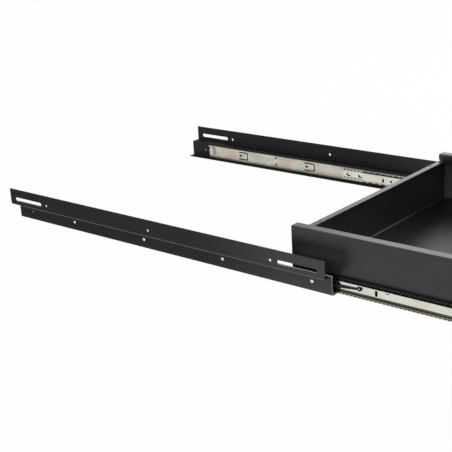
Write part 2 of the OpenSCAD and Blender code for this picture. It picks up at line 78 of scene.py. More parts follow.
# %% A socket that can be added, multiplied and compared
class Wire:
    """A value that comes out of a shader node."""

    def __init__(self, finish, socket):
        self.finish, self.socket = finish, socket

    def maths(self, operation, *terms):
        """Adds a Math node that works on the given terms."""
        inputs = dict(enumerate(terms))
        return self.finish.node("ShaderNodeMath", {"operation": operation}, inputs)

    def __add__(self, other): return self.maths("ADD", self, other)
    def __radd__(self, other): return self.maths("ADD", other, self)
    def __sub__(self, other): return self.maths("SUBTRACT", self, other)
    def __rsub__(self, other): return self.maths("SUBTRACT", other, self)
    def __mul__(self, other): return self.maths("MULTIPLY", self, other)
    def __rmul__(self, other): return self.maths("MULTIPLY", other, self)
    def __truediv__(self, other): return self.maths("DIVIDE", self, other)
    def __rtruediv__(self, other): return self.maths("DIVIDE", other, self)
    def __pow__(self, other): return self.maths("POWER", self, other)
    def __rpow__(self, other): return self.maths("POWER", other, self)
    def __abs__(self): return self.maths("ABSOLUTE", self)

    def larger(self, other):
        """The larger of two values."""
        return self.maths("MAXIMUM", self, other)

    def fraction(self):
        """What is left of a value without its whole number."""
        return self.maths("FRACT", self)


def distance(first, second):
    """The length of the long side of a right-angled triangle."""
    return (first * first + second * second) ** 0.5


print("shader values can be added, multiplied, compared and raised to a power")

# %% A material and the one method that adds its nodes
SOFT_RADIUS = 0.00035
BEVEL_SAMPLES = 6


class Finish:
    """The nodes of a material, or of the world, in the making."""

    def __init__(self, owner):
        owner.use_nodes = True
        self.owner, self.tree = owner, owner.node_tree
        self.tree.nodes.clear()

    def node(self, kind, settings=None, inputs=None, out=0):
        """Adds one node, sets it up and returns the output with the given name or number."""
        made = self.tree.nodes.new(kind)
        for name, value in (settings or {}).items():
            if name == "stops":
                ramp = made.color_ramp.elements
                while len(ramp) < len(value):
                    ramp.new(0.5)
                for stop, (place, colour) in zip(ramp, value):
                    stop.position, stop.color = place, (*colour, 1)
            else:
                setattr(made, name, value)
        for name, value in (inputs or {}).items():
            if isinstance(value, Wire):
                self.tree.links.new(value.socket, made.inputs[name])
            else:
                made.inputs[name].default_value = value
        return Wire(self, made.outputs[out])

    def place(self, stretch=(1, 1, 1), shift=(0, 0, 0)):
        """The point on the piece in metres, stretched along each axis and then moved."""
        here = self.node("ShaderNodeTexCoord", out="Object")
        inputs = {"Vector": here, "Scale": stretch, "Location": shift}
        return self.node("ShaderNodeMapping", inputs=inputs)

    def axis(self, name, vector=None):
        """X, Y or Z of the point on the piece, or of another vector."""
        inputs = {"Vector": vector or self.place()}
        return self.node("ShaderNodeSeparateXYZ", inputs=inputs, out=name)

    def facing(self, name):
        """How far the surface faces along X, Y or Z, from -1 to 1."""
        return self.axis(name, self.node("ShaderNodeNewGeometry", out="True Normal"))

    def noise(self, size, stretch=(1, 1, 1), detail=2.0, rough=0.5, shift=(0, 0, 0)):
        """A cloudy value from 0 to 1 whose blobs are about size metres across."""
        inputs = {"Vector": self.place(stretch, shift), "Scale": 1 / size,
                  "Detail": detail, "Roughness": rough}
        return self.node("ShaderNodeTexNoise", inputs=inputs)

    def rise(self, value, low, high):
        """0 below low, 1 above high, and smooth between."""
        inputs = {"Value": value, "From Min": low, "From Max": high}
        settings = {"interpolation_type": "SMOOTHSTEP"}
        return self.node("ShaderNodeMapRange", settings, inputs)

    def fall(self, value, low, high):
        """1 below low, 0 above high, and smooth between."""
        return 1 - self.rise(value, low, high)

    def mix(self, share, first, second):
        """A colour between two colours."""
        first, second = (c if isinstance(c, Wire) else (*c, 1) for c in (first, second))
        inputs = {0: share, 6: first, 7: second}
        return self.node("ShaderNodeMix", {"data_type": "RGBA"}, inputs, out=2)

    def bump(self, height, depth, under=None):
        """A normal tilted by a height from 0 to 1 that stands for depth metres."""
        inputs = {"Height": height, "Distance": depth, "Strength": 1.0}
        if under is not None:
            inputs["Normal"] = under
        return self.node("ShaderNodeBump", inputs=inputs)

    def rounded(self, radius):
        """The surface's normal, turned over a radius round sharp edges."""
        return self.node("ShaderNodeBevel", {"samples": BEVEL_SAMPLES}, {"Radius": radius})

    def show(self, shader, output="ShaderNodeOutputMaterial"):
        """Sends a shader to the surface and returns the material or world."""
        end = self.tree.nodes.new(output)
        self.tree.links.new(shader.socket, end.inputs["Surface"])
        return self.owner

    def done(self, **surface):
        """Closes the material with one Principled surface and returns it."""
        inputs = {name.replace("_", " ").title().replace("Ior", "IOR"): value
                  for name, value in surface.items()}
        return self.show(self.node("ShaderNodeBsdfPrincipled", inputs=inputs))


def new_finish(name):
    return Finish(bpy.data.materials.new(name))


print("edges look rounded by", SOFT_RADIUS * 1000, "mm")

# %% [markdown]
# ## Black powder coat
# The brackets and the drawer are sprayed with a dry black powder and baked. The skin is not
# flat: it has a soft orange peel a few millimetres across and, on the brackets, a fine sandy
# grain that kills reflections. Along cut edges the coat thins and rubs to a lighter grey, and
# that grey is also a painted highlight along the edges. An image could show this, but noise in
# the part's own metres has no seams and stays true on every piece, so it is used here.

# %% Powder coat recipe
EDGE_RADIUS = 0.0007
EDGE_TURN = (0.01, 0.16)
EDGE_SHARE = 0.5
PATCH_SIZE = 0.009
PATCHES = (0.35, 0.65)
CLOUD_SIZE = 0.035
CLOUDS = (0.3, 0.7)
CLOUD_LIGHT = 1.35
CLOUD_DULL = 0.08
SAND_SIZE = 0.0006
SAND_DULL = 0.1
PEEL_SIZE = 0.0032
EDGE_GLOSS = 0.1


def rubbed_and_glinting_edges(coat):
    """Patches along worn edges, lightened as wear and as a painted highlight, and nothing on flat
    sheet.
    """
    plain = coat.node("ShaderNodeNewGeometry", out="Normal")
    settings, inputs = {"operation": "DOT_PRODUCT"}, {0: coat.rounded(EDGE_RADIUS), 1: plain}
    agree = coat.node("ShaderNodeVectorMath", settings, inputs, out="Value")
    patches = coat.rise(coat.noise(PATCH_SIZE, detail=3), *PATCHES)
    return coat.rise(1 - agree, *EDGE_TURN) * patches * EDGE_SHARE


def powder_coat(name, colour, worn, sheen, grain, peel, roughness, marks=()):
    """Paint with an orange peel, a sandy grain, and rubbed edges that also carry a painted
    highlight.

    Each mark is a mask with a colour of its own on top."""
    coat = new_finish(name)
    cloud = coat.noise(CLOUD_SIZE)
    sand = coat.noise(SAND_SIZE, rough=0.6)
    waves = coat.noise(PEEL_SIZE, detail=1)
    edge = rubbed_and_glinting_edges(coat)
    lighter = tuple(c * CLOUD_LIGHT for c in colour)
    skin = coat.mix(coat.rise(cloud, *CLOUDS), colour, lighter)
    # The edges turn a worn grey that is also a painted highlight along them.
    skin = coat.mix(edge, skin, worn)
    # Marks on top; on the brackets and the drawer they are painted light, shade and highlights.
    for mask, mark_colour in marks:
        skin = coat.mix(mask(coat), skin, mark_colour)
    relief = coat.bump(sand, grain, coat.bump(waves, peel, coat.rounded(SOFT_RADIUS)))
    dull = roughness + (cloud - 0.5) * CLOUD_DULL + (sand - 0.5) * SAND_DULL
    dull -= edge * EDGE_GLOSS
    return coat.done(base_color=skin, roughness=dull, specular_ior_level=sheen, normal=relief)


print("orange peel", PEEL_SIZE * 1000, "mm, sand", SAND_SIZE * 1000, "mm")

# %% [markdown]
# ## Painted light and shade on the paint
# In the photograph the brackets are lighter towards their front ends, darker on the shelf and
# on the rear of the left one, and have light lines where the sheet is folded or cut. These are
# painted into the coat's colour as light, shade and highlights. The drawer's rims and the
# inside of its right wall are lighter too, and are painted lighter the same way. Such places
# could be painted by hand on an unwrapped mesh. Here each one is a mask instead, a number from
# 0 to 1 that is worked out from where a point lies and which way it faces, so it follows the
# sheet's own sizes.

# %% Where the brackets get painted light and shade
FACES_UP = (0.8, 0.9)
UPRIGHT = (0.5, 0.7)
RACK_MIDDLE = (-0.1, 0.1)
PAINTED_LIGHT_END = 0.2
REAR_SHADE_RANGE = (0.15, 0.5)
FLANGE_HEIGHT = 0.0245
SHELF_BLUR = 0.001

bracket_low, bracket_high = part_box("left_bracket")
SHELF_TOP = bracket_high.z - FLANGE_HEIGHT


def left_side(coat):
    return coat.fall(coat.axis("X"), *RACK_MIDDLE)


def upright(coat):
    return coat.fall(abs(coat.facing("Z")), *UPRIGHT)


def front_painted_light(coat):
    """The upright faces towards the front of each bracket, painted lighter as light falling
    there.
    """
    return coat.fall(coat.axis("Y"), bracket_low.y, PAINTED_LIGHT_END) * upright(coat)


def rear_painted_shade(coat):
    """The upright faces of the left bracket's rear half, painted darker as shade."""
    return coat.rise(coat.axis("Y"), *REAR_SHADE_RANGE) * left_side(coat) * upright(coat)


def shelf_painted_shade(coat):
    """The top of the shelf, painted dark as shade."""
    low = coat.fall(coat.axis("Z"), SHELF_TOP, SHELF_TOP + SHELF_BLUR)
    return low * coat.rise(coat.facing("Z"), *FACES_UP)


print("shelf", round(FLANGE_HEIGHT * 1000, 1), "mm below the flange's top")

# %% Where the brackets get painted highlights
LEANS = (0.3, 0.4)
FOLD_START, FOLD_END = (0.1, 0.25), (0.8, 0.95)
FOLD_RANGE = (0.215, 0.216)
CREST_RANGE = (0.2118, 0.2122)
WEB_RANGE = (0.2092, 0.2098)
CUT_DEPTHS = (0.0004, 0.0008)
CORNER_DROPS = (0.004, 0.003)


def fold_painted_highlight(coat):
    """The fold under the flange, painted lighter as a highlight."""
    down = -1 * coat.facing("Z")
    slanted = coat.rise(down, *FOLD_START) * coat.fall(down, *FOLD_END)
    return slanted * coat.rise(abs(coat.axis("X")), *FOLD_RANGE)


def crest_painted_highlight(coat):
    """The edge of the left bracket's shelf above the slide, painted near white as a highlight."""
    edge = coat.fall(abs(coat.axis("X")), *CREST_RANGE)
    return edge * left_side(coat) * coat.rise(coat.facing("Z"), *LEANS)


def web_cut_painted_highlight(coat):
    """The cut edge of the web at the front, painted lighter as a highlight."""
    front = coat.fall(coat.axis("Y"), *(bracket_low.y + depth for depth in CUT_DEPTHS))
    return front * coat.fall(abs(coat.axis("X")), *WEB_RANGE)


def corner_painted_highlight(coat):
    """The top of that edge, painted near white as a brighter highlight."""
    height = (SHELF_TOP - drop for drop in CORNER_DROPS)
    return web_cut_painted_highlight(coat) * coat.rise(coat.axis("Z"), *height)


print("light line under the flange from", FOLD_RANGE[0], "m outwards")

# %% Where the drawer gets painted light
FACES_LEFT = (-0.9, -0.8)
WALL_DEPTHS = (0.005, 0.003)
RIM_WAYS = (0.18, 0.02)
RIM_BLUR = 0.001

back_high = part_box("drawer_back")[1]
side_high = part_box("drawer_right_side")[1]


def wall_painted_light(coat):
    """The inside of the drawer's right wall, painted lighter as light falling on it."""
    inner = coat.fall(coat.facing("X"), *FACES_LEFT)
    return inner * coat.rise(coat.axis("X"), *(side_high.x - depth for depth in WALL_DEPTHS))


def rim_painted_reflection(coat):
    """The tops of the drawer's rims, painted lighter towards the front as a painted reflection.
    """
    top = coat.rise(coat.axis("Z"), back_high.z, back_high.z + RIM_BLUR)
    front = coat.fall(coat.axis("Y"), *(back_high.y - way for way in RIM_WAYS))
    return top * front * coat.rise(coat.facing("Z"), *FACES_UP)


print("rims lie", round((side_high.z - back_high.z) * 1000, 1), "mm above the back")

# %% Mix the paints
BLACK = (0.0105, 0.0105, 0.0115)
DRAWER_WEAR_AND_GLINT = (0.05, 0.05, 0.055)
# The bracket marks paint light, shade and highlights into the coat: a lit front, a shaded rear
# and shelf, and light lines on folds and cut edges.
BRACKET_MARKS = [(front_painted_light, (0.07, 0.07, 0.073)), (rear_painted_shade, (0.003, 0.003, 0.003)),
                 (fold_painted_highlight, (0.14, 0.14, 0.14)), (shelf_painted_shade, (0.004, 0.004, 0.004)),
                 (crest_painted_highlight, (0.75, 0.75, 0.73)), (web_cut_painted_highlight, (0.26, 0.26, 0.26)),
                 (corner_painted_highlight, (0.8, 0.8, 0.8))]
# The drawer marks paint light into the coat: a lit right wall and a reflection on the rims.
DRAWER_MARKS = [(rim_painted_reflection, (0.05, 0.05, 0.052)), (wall_painted_light, (0.11, 0.11, 0.125))]

bracket_paint = powder_coat(
    "bracket powder coat", colour=(0.0125, 0.0125, 0.0128), worn=(0.06, 0.06, 0.062),
    sheen=0.19, grain=0.00006, peel=0.00004, roughness=0.58, marks=BRACKET_MARKS)
drawer_paint = powder_coat(
    "drawer powder coat", colour=(0.0150, 0.0148, 0.0195), worn=DRAWER_WEAR_AND_GLINT,
    sheen=0.5, grain=0.000012, peel=0.00003, roughness=0.36, marks=DRAWER_MARKS)
# The floor gets a darker copy of the drawer's paint, a painted shade, with a lower sheen.
shaded_floor_paint = powder_coat(
    "drawer floor powder coat painted darker", colour=(0.0062, 0.0060, 0.0080), worn=DRAWER_WEAR_AND_GLINT,
    sheen=0.29, grain=0.000012, peel=0.00003, roughness=0.36)
panel_paint = powder_coat(
    "panel powder coat", colour=BLACK, worn=(0.055, 0.055, 0.06),
    sheen=0.4, grain=0.00003, peel=0.00004, roughness=0.42)
handle_paint = powder_coat(
    "handle powder coat", colour=BLACK, worn=(0.07, 0.07, 0.075),
    sheen=0.45, grain=0.00002, peel=0.00003, roughness=0.38)
paints = (bracket_paint, drawer_paint, shaded_floor_paint, panel_paint, handle_paint)
print("powder coats:", [paint.name for paint in paints])

# %% [markdown]
# ## Zinc plate
# The slide members are rolled from steel strip and plated with zinc. The passivation film on
# top gives it a faint rainbow, straw and green with touches of rose and violet, drawn out
# along the strip. Fine rolling lines run the same way. Thin Film settings could give real
# interference colours, but they change with every angle, so the film is painted as slow
# bands of tint on bare metal. Old grease has gone dark in the races, and the balls' cages have
# left a comb of marks in it. The same dark colour is also painted as shade into the slide's
# narrow gaps and undersides, into the cage's pockets and over the drawer's member. So the
# finish has to know where a point lies in the slide.

# %% Where a point lies in the slide
SOFT_EDGE = 0.0003
PLATE_LENGTH = 0.040
POCKET_PITCH = 0.0116
POCKET_SHARE = 0.68
POCKET_BLUR = 0.04
TOOTH = (0.2, 0.3)

channel_low, channel_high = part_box("right_outer_member")
middle_low, middle_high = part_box("right_intermediate_member")
cage_low, cage_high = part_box("right_outer_retainer")
drawer_rail_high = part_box("right_drawer_member")[1]
SLIDE_MIDDLE = (channel_low.z + channel_high.z) / 2
PLATE_FRONT = cage_high.y - PLATE_LENGTH
pocket_span = PLATE_FRONT - cage_low.y
pocket_step = pocket_span / math.floor(pocket_span / POCKET_PITCH)


class Spot:
    """A shaded point of a slide member, in measures of the slide's cross-section.

    rise is its height above the slide's middle, along its place from front to back, out its
    distance from the middle of the rack, up how far its face looks upwards. pocket is 1
    beside a pocket of the cage, and tooth is 1 in every dark gap of a comb twice as fine."""

    def __init__(self, metal):
        x, y, z = (metal.axis(name) for name in "XYZ")
        self.rise, self.along, self.out = z - SLIDE_MIDDLE, y, abs(x)
        self.up = metal.facing("Z")
        apart = abs(((PLATE_FRONT - y) / pocket_step).fraction() - 0.5)
        edges = (POCKET_SHARE / 2 - POCKET_BLUR, POCKET_SHARE / 2 + POCKET_BLUR)
        self.pocket = metal.fall(apart, *edges)
        comb = (y / pocket_step * 2).fraction() - 0.5
        self.tooth = metal.rise(abs(comb), *TOOTH)


def above(metal, value, limit):
    return metal.rise(value, limit - SOFT_EDGE, limit + SOFT_EDGE)


def below(metal, value, limit):
    return 1 - above(metal, value, limit)


print("slide's middle height:", round(SLIDE_MIDDLE * 1000, 2), "mm")
print("pockets every", round(pocket_step * 1000, 2), "mm")

# %% Where grease and painted shade darken each member
OUTER_RACE_GREASE_AND_SHADE = -0.0095
RACE_SHARE = 0.8
WEB_SHADE_HALF_HEIGHT = 0.0045
MIDDLE_FOOT_SHADE = -0.0033
FLAT = (0.4, 0.6)
LIP_BRIGHT = 0.35
ROOF_SHARE = 0.8
WINDOW_TOP = 0.0073
MIDDLE_WEB = (middle_low.x + middle_high.x) / 2


def outer_grease_and_shade(metal, spot):
    """The outer member's lower race, darkened as grease and painted shade, and the part of its
    web behind the middle member, painted dark as shade.
    """
    race = below(metal, spot.rise, OUTER_RACE_GREASE_AND_SHADE)
    ahead = below(metal, spot.along, PLATE_FRONT)
    web = above(metal, spot.rise, -WEB_SHADE_HALF_HEIGHT) * below(metal, spot.rise, WEB_SHADE_HALF_HEIGHT)
    return (race * RACE_SHARE).larger(ahead * web)


def middle_grease_and_shade(metal, spot):
    """The races of the middle member, its undersides and the foot of its web on the bracket's
    side, darkened as grease and painted shade.
    """
    lip = middle_high.x - SOFT_EDGE * 2
    race = middle_high.z - SLIDE_MIDDLE - SOFT_EDGE
    bracket_side = above(metal, spot.out, MIDDLE_WEB)
    bracket_side *= 1 - above(metal, spot.out, lip) * LIP_BRIGHT
    foot = bracket_side * below(metal, spot.rise, MIDDLE_FOOT_SHADE)
    roof = above(metal, spot.rise, race) * metal.rise(spot.up, *FLAT)
    drawer_lip = below(metal, spot.out, middle_low.x + SOFT_EDGE)
    low_lip = drawer_lip * below(metal, spot.rise, SOFT_EDGE * 3 - race)
    roof_teeth = roof * (ROOF_SHARE + spot.pocket * (1 - ROOF_SHARE))
    teeth = roof_teeth + low_lip * spot.pocket
    belly = metal.rise(-1 * spot.up, *FLAT)
    return foot.larger(teeth.larger(belly))


def cage_pocket_shade(metal, spot):
    """The outer cage's upright leg behind each ball, beyond the plate, painted dark as shade in
    each pocket.
    """
    ahead = below(metal, spot.along, PLATE_FRONT)
    return above(metal, abs(spot.rise), WINDOW_TOP) * ahead * spot.pocket


def drawer_member_shade(metal, spot):
    """All of the drawer's member, painted dark as shade, but a bright comb on the edge of its
    lower flange.
    """
    cut = above(metal, spot.out, drawer_rail_high.x - SOFT_EDGE * 2)
    return 1 - cut * below(metal, spot.rise, 0.0) * (1 - spot.tooth)


print("grease and painted shade under", OUTER_RACE_GREASE_AND_SHADE * 1000, "and", MIDDLE_FOOT_SHADE * 1000, "mm")

# %% Places with a colour of their own
DISC_PLACE = 0.2965
DISC_RISE = 0.0006
DISC_RADIUS = 0.0031
SMEAR = 0.0085
COMB_SHARE = 0.45


def disc_gleam(metal, spot):
    """The middle member's embossed disc, which rubbing has polished."""
    aside = spot.along - (middle_high.y - DISC_PLACE)
    away = distance(aside, spot.rise - DISC_RISE)
    return metal.fall(away, DISC_RADIUS - SOFT_EDGE, DISC_RADIUS)


def web_smear(metal, spot):
    """Old grease on the middle member's web, beside the bracket's front end."""
    ahead = above(metal, spot.along, bracket_low.y - SMEAR)
    behind = below(metal, spot.along, bracket_low.y + SMEAR)
    return ahead * behind * above(metal, spot.out, MIDDLE_WEB)


def top_flange_shade(metal, spot):
    """The drawer member's upper flange, painted dark as shade, with a faint comb."""
    return above(metal, spot.rise, 0.0) * (1 - (1 - spot.tooth) * COMB_SHARE)


print("disc", DISC_RADIUS * 2000, "mm across")

# %% Zinc recipe
STRAW = (0.60, 0.56, 0.42)
GREEN = (0.50, 0.56, 0.42)
ROSE = (0.60, 0.47, 0.38)
VIOLET = (0.46, 0.42, 0.50)
SILVER = (0.68, 0.67, 0.62)
STAIN = (0.55, 0.55, 0.52)
# Dark grease colour, also used as painted shade in gaps, pockets and undersides.
GREASE_AND_SHADE_COLOUR = (0.085, 0.083, 0.066)
LINE_SIZE = 0.0009
LINE_DEPTH = 0.00001
LINE_DULL = 0.16
BAND_SIZE = 0.046
BAND_STRETCH = (1, 0.7, 1.1)
BAND_SHIFT = (0, 0.019, 0)
BAND_SHARE = 0.75
BAND_DULL = 0.1
STREAK_SIZE = 0.006
STREAK_STRETCH = (1, 0.12, 1)
STREAK_DEPTH = 0.00003
STAIN_SIZE = 0.0022
STAINS = (0.62, 0.75)
STAIN_SHARE = 0.12
SMEAR_SIZE = 0.004
SMEAR_STRETCH = (1, 0.1, 1)
SMEARS = (0.2, 0.5)
THINNEST_GREASE, SMEAR_SHARE = 0.86, 0.12
FIRST_TINT, TINT_SPAN = 0.34, 0.3


def tint_stops(tints):
    """The stops of a colour ramp, evenly spread over the noise's usual values."""
    gap = TINT_SPAN / (len(tints) - 1)
    return [(FIRST_TINT + gap * i, tint) for i, tint in enumerate(tints)]


def plated(name, tints, strength, roughness, drawn=(1, 0.05, 1), shine=1.0, grease_and_shade_mask=None,
           marks=()):
    """Bright metal with slow bands of tint and lines along its length.

    One mask says where grease and painted shade darken the metal, and each mark is a mask with
    its own colour on top."""
    metal = new_finish(name)
    spot = Spot(metal) if grease_and_shade_mask or marks else None
    tints = [tuple(c * shine for c in tint) for tint in tints]
    bare = tuple(c * shine for c in SILVER)
    lines = metal.noise(LINE_SIZE, drawn, detail=3, rough=0.6)
    band = metal.noise(BAND_SIZE, BAND_STRETCH, shift=BAND_SHIFT)
    streak = metal.noise(STREAK_SIZE, STREAK_STRETCH)
    stains = metal.rise(metal.noise(STAIN_SIZE), *STAINS)
    film = band * BAND_SHARE + streak * (1 - BAND_SHARE)
    rainbow = metal.node("ShaderNodeValToRGB", {"stops": tint_stops(tints)}, {"Fac": film})
    skin = metal.mix(strength, bare, rainbow)
    skin = metal.mix(stains * STAIN_SHARE, skin, STAIN)
    relief = metal.bump(streak, STREAK_DEPTH, metal.rounded(SOFT_RADIUS))
    relief = metal.bump(lines, LINE_DEPTH, relief)
    dull = roughness + (lines - 0.5) * LINE_DULL + (band - 0.5) * BAND_DULL
    # Grease and painted shade darken the metal where the mask says.
    if grease_and_shade_mask:
        smear = metal.rise(metal.noise(SMEAR_SIZE, SMEAR_STRETCH, detail=3), *SMEARS)
        thick = smear * SMEAR_SHARE + THINNEST_GREASE
        skin = metal.mix(grease_and_shade_mask(metal, spot) * thick, skin, GREASE_AND_SHADE_COLOUR)
    for mask, colour in marks:
        skin = metal.mix(mask(metal, spot), skin, colour)
    return metal.done(base_color=skin, metallic=1.0, roughness=dull, normal=relief)


print("film bands", BAND_SIZE * 1000, "mm long")

# %% Plate the slides
FILM = [VIOLET, GREEN, STRAW, SILVER, STRAW, ROSE, VIOLET]
CAGE = [SILVER, (0.88, 0.89, 0.88), SILVER]
OIL = [(0.05, 0.05, 0.045), (0.07, 0.068, 0.055)]
# The inner cage and balls are darkened as grease and also as painted shade in their narrow gap.
GREASED_AND_SHADED = [(0.10, 0.098, 0.085), (0.15, 0.145, 0.125)]
RIVET = [SILVER, (0.8, 0.8, 0.8), STRAW]
SCREW = [SILVER, (0.66, 0.66, 0.67), STRAW]
POLISHED = (0.86, 0.86, 0.84)
# This dark colour is old grease beside the bracket, and painted shade on the drawer member's
# upper flange.
OLD_GREASE_AND_FLANGE_SHADE = (0.026, 0.026, 0.024)
NOT_DRAWN = (1, 1, 1)

outer_zinc = plated("zinc of the outer member", FILM, strength=0.8, roughness=0.3,
                    shine=0.86, grease_and_shade_mask=outer_grease_and_shade)
middle_zinc = plated("zinc of the middle member", FILM, strength=0.35, roughness=0.3,
                     shine=1.06, grease_and_shade_mask=middle_grease_and_shade,
                     marks=[(disc_gleam, POLISHED), (web_smear, OLD_GREASE_AND_FLANGE_SHADE)])
inner_zinc = plated("zinc of the drawer member", FILM, strength=0.5, roughness=0.3,
                    grease_and_shade_mask=drawer_member_shade, marks=[(top_flange_shade, OLD_GREASE_AND_FLANGE_SHADE)])
oiled = plated("oiled steel", OIL, strength=1.0, roughness=0.35)
cage_steel = plated("cage steel", CAGE, strength=0.6, roughness=0.36, shine=0.95,
                    grease_and_shade_mask=cage_pocket_shade)
shaded_greased_cage = plated("greased cage steel painted dark as shade", GREASED_AND_SHADED, strength=1.0, roughness=0.36)
rivet_steel = plated("rivet steel", RIVET, strength=0.4, roughness=0.26, drawn=NOT_DRAWN)
screw_steel = plated("screw steel", SCREW, strength=0.7, roughness=0.3, drawn=NOT_DRAWN)
metals = (outer_zinc, middle_zinc, inner_zinc, oiled, cage_steel, shaded_greased_cage, rivet_steel,
          screw_steel)
print("plated steels:", [metal.name for metal in metals])

# %% [markdown]
# ## Small parts
# The balls are ground and polished: a nearly clean mirror with a trace of grease on the outer
# ones, and dark grease all over the inner ones, which are also painted dark as the shade of
# their narrow gap. The lever's pin shines in its middle and has oil round its edge. The lock
# lever is moulded in black acetal, which is waxy, with fine sparks of texture from the mould.
# The bumpers are milky nylon that lets a little light in.

# %% Balls, pin, lever and bumper
DROP_SIZE = 0.0007
DROPS = (0.45, 0.7)
BALL_DULL, DROP_DULL = 0.07, 0.22
PIN_SHINE = (0.76, 0.75, 0.73)
PIN_OIL = (0.06, 0.058, 0.05)
PIN_RING = (0.45, 0.65)
PIN_WEAR = 0.0008
PIN_DULL = 0.2
SPARK_SIZE = 0.00035
SPARK_DEPTH = 0.00002
SPARK_DULL = 0.15
FLOW_SIZE = 0.006
FLOWS = (0.35, 0.7)
GLOW_DEPTH = 0.002

pin_low, pin_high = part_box("left_lever_pin")


def ball_recipe(name, clean, greasy):
    """A mirror with drops of grease."""
    ball = new_finish(name)
    drops = ball.rise(ball.noise(DROP_SIZE), *DROPS)
    skin = ball.mix(drops, clean, greasy)
    return ball.done(base_color=skin, metallic=1.0, roughness=drops * DROP_DULL + BALL_DULL)


def pin_recipe():
    """A pin whose worn middle shines, with dark oil round its edge."""
    pin = new_finish("lever pin steel")
    middle, radius = (pin_low + pin_high) / 2, (pin_high.z - pin_low.z) / 2
    away = distance(pin.axis("Y") - middle.y, pin.axis("Z") - middle.z) / radius
    skin = pin.mix(pin.rise(away, *PIN_RING), PIN_SHINE, PIN_OIL)
    dull = pin.noise(PIN_WEAR) * PIN_DULL + PIN_DULL
    return pin.done(base_color=skin, metallic=1.0, roughness=dull,
                    normal=pin.rounded(SOFT_RADIUS))


def moulded(name, colour, pale, roughness, sheen, soft):
    """Moulded plastic with a fine spark-eroded texture and a trace of its flow."""
    plastic = new_finish(name)
    sparks = plastic.noise(SPARK_SIZE, rough=0.6)
    flow = plastic.noise(FLOW_SIZE, (1, 0.3, 1))
    skin = plastic.mix(plastic.rise(flow, *FLOWS), colour, pale)
    dull = roughness + (sparks - 0.5) * SPARK_DULL
    return plastic.done(base_color=skin, roughness=dull,
                        normal=plastic.bump(sparks, SPARK_DEPTH), specular_ior_level=sheen,
                        subsurface_weight=soft, subsurface_scale=GLOW_DEPTH)


polished = ball_recipe("polished ball", (0.74, 0.74, 0.76), (0.6, 0.58, 0.52))
shaded_greased_ball = ball_recipe("greased ball painted dark as shade", (0.12, 0.118, 0.1), (0.06, 0.058, 0.048))
pin_steel = pin_recipe()
acetal = moulded("black acetal", colour=(0.007, 0.007, 0.007), pale=(0.012, 0.012, 0.012),
                 roughness=0.5, sheen=0.2, soft=0.0)
nylon = moulded("milky nylon", colour=(0.93, 0.93, 0.89), pale=(0.88, 0.88, 0.80),
                roughness=0.38, sheen=0.5, soft=0.1)
small = (polished, shaded_greased_ball, pin_steel, acetal, nylon)
print("small parts:", [finish.name for finish in small])

# %% [markdown]
# ## Dressing the CAD nodes
# The record names a material slot for each node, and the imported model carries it. Each node
# keeps its exact shape, and the finish with the slot's name goes into its slot. A few nodes
# then get a finish of their own, because the photograph shows them darker or brighter than
# their neighbours in the same slot.

# %% Assign the finishes
finishes = {"bracket_black": bracket_paint, "drawer_black": drawer_paint,
            "panel_black": panel_paint, "handle_black": handle_paint, "zinc_steel": outer_zinc,
            "retainer_steel": cage_steel, "oiled_steel": oiled, "ball_steel": polished,
            "rivet_steel": rivet_steel, "screw_steel": screw_steel, "lever_plastic": acetal,
            "bumper_nylon": nylon}
own_finishes = {"intermediate_member": middle_zinc, "drawer_member": inner_zinc,
                "inner_retainer": shaded_greased_cage, "inner_balls": shaded_greased_ball,
                "lever_pin": pin_steel}
for piece in nodes.values():
    for holder in piece.material_slots:
        holder.material = finishes[holder.material.name]
for part, finish in own_finishes.items():
    for side in ("left", "right"):
        nodes[f"{side}_{part}"].material_slots[0].material = finish
# The drawer's floor gets the darker copy of its paint, a painted shade.
nodes["drawer_floor"].material_slots[0].material = shaded_floor_paint
print("dressed", len(nodes), "nodes with", len(finishes) + len(own_finishes) + 1, "finishes")

# %% [markdown]
# ## Dark plates behind the ball cages
# On the real slide every opening of the outer cage looks black, because it lies deep in shade.
# A thin plate of black acetal between the cage and the channel stands in for that shade: it is
# painted shade built as a real plate. It could be hinted at with a painted mask, but a plate
# stays right from every side and travels with the cage. Its outline follows the cage a little
# further in.

# %% Cut the shade plates
SHADE_PLATE_GAP = 0.00006
SHADE_PLATE_THICK = 0.00014
SHADE_PLATE_INSET = 0.0004
STRIP_INNER = 0.0050


def add_slab(shape, low, high):
    """A closed box in a mesh, from its lowest to its highest corner."""
    made = bmesh.ops.create_cube(shape, size=1)["verts"]
    size = [h - l for l, h in zip(low, high)]
    middle = [(l + h) / 2 for l, h in zip(low, high)]
    bmesh.ops.scale(shape, vec=size, verts=made)
    bmesh.ops.translate(shape, vec=middle, verts=made)


def new_piece(name, shape, finish, body):
    """Turns a finished bmesh into a piece that rides on a body."""
    mesh = bpy.data.meshes.new(name)
    shape.to_mesh(mesh)
    shape.free()
    mesh.materials.append(finish)
    piece = bpy.data.objects.new(name, mesh)
    bpy.context.scene.collection.objects.link(piece)
    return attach(piece, body)


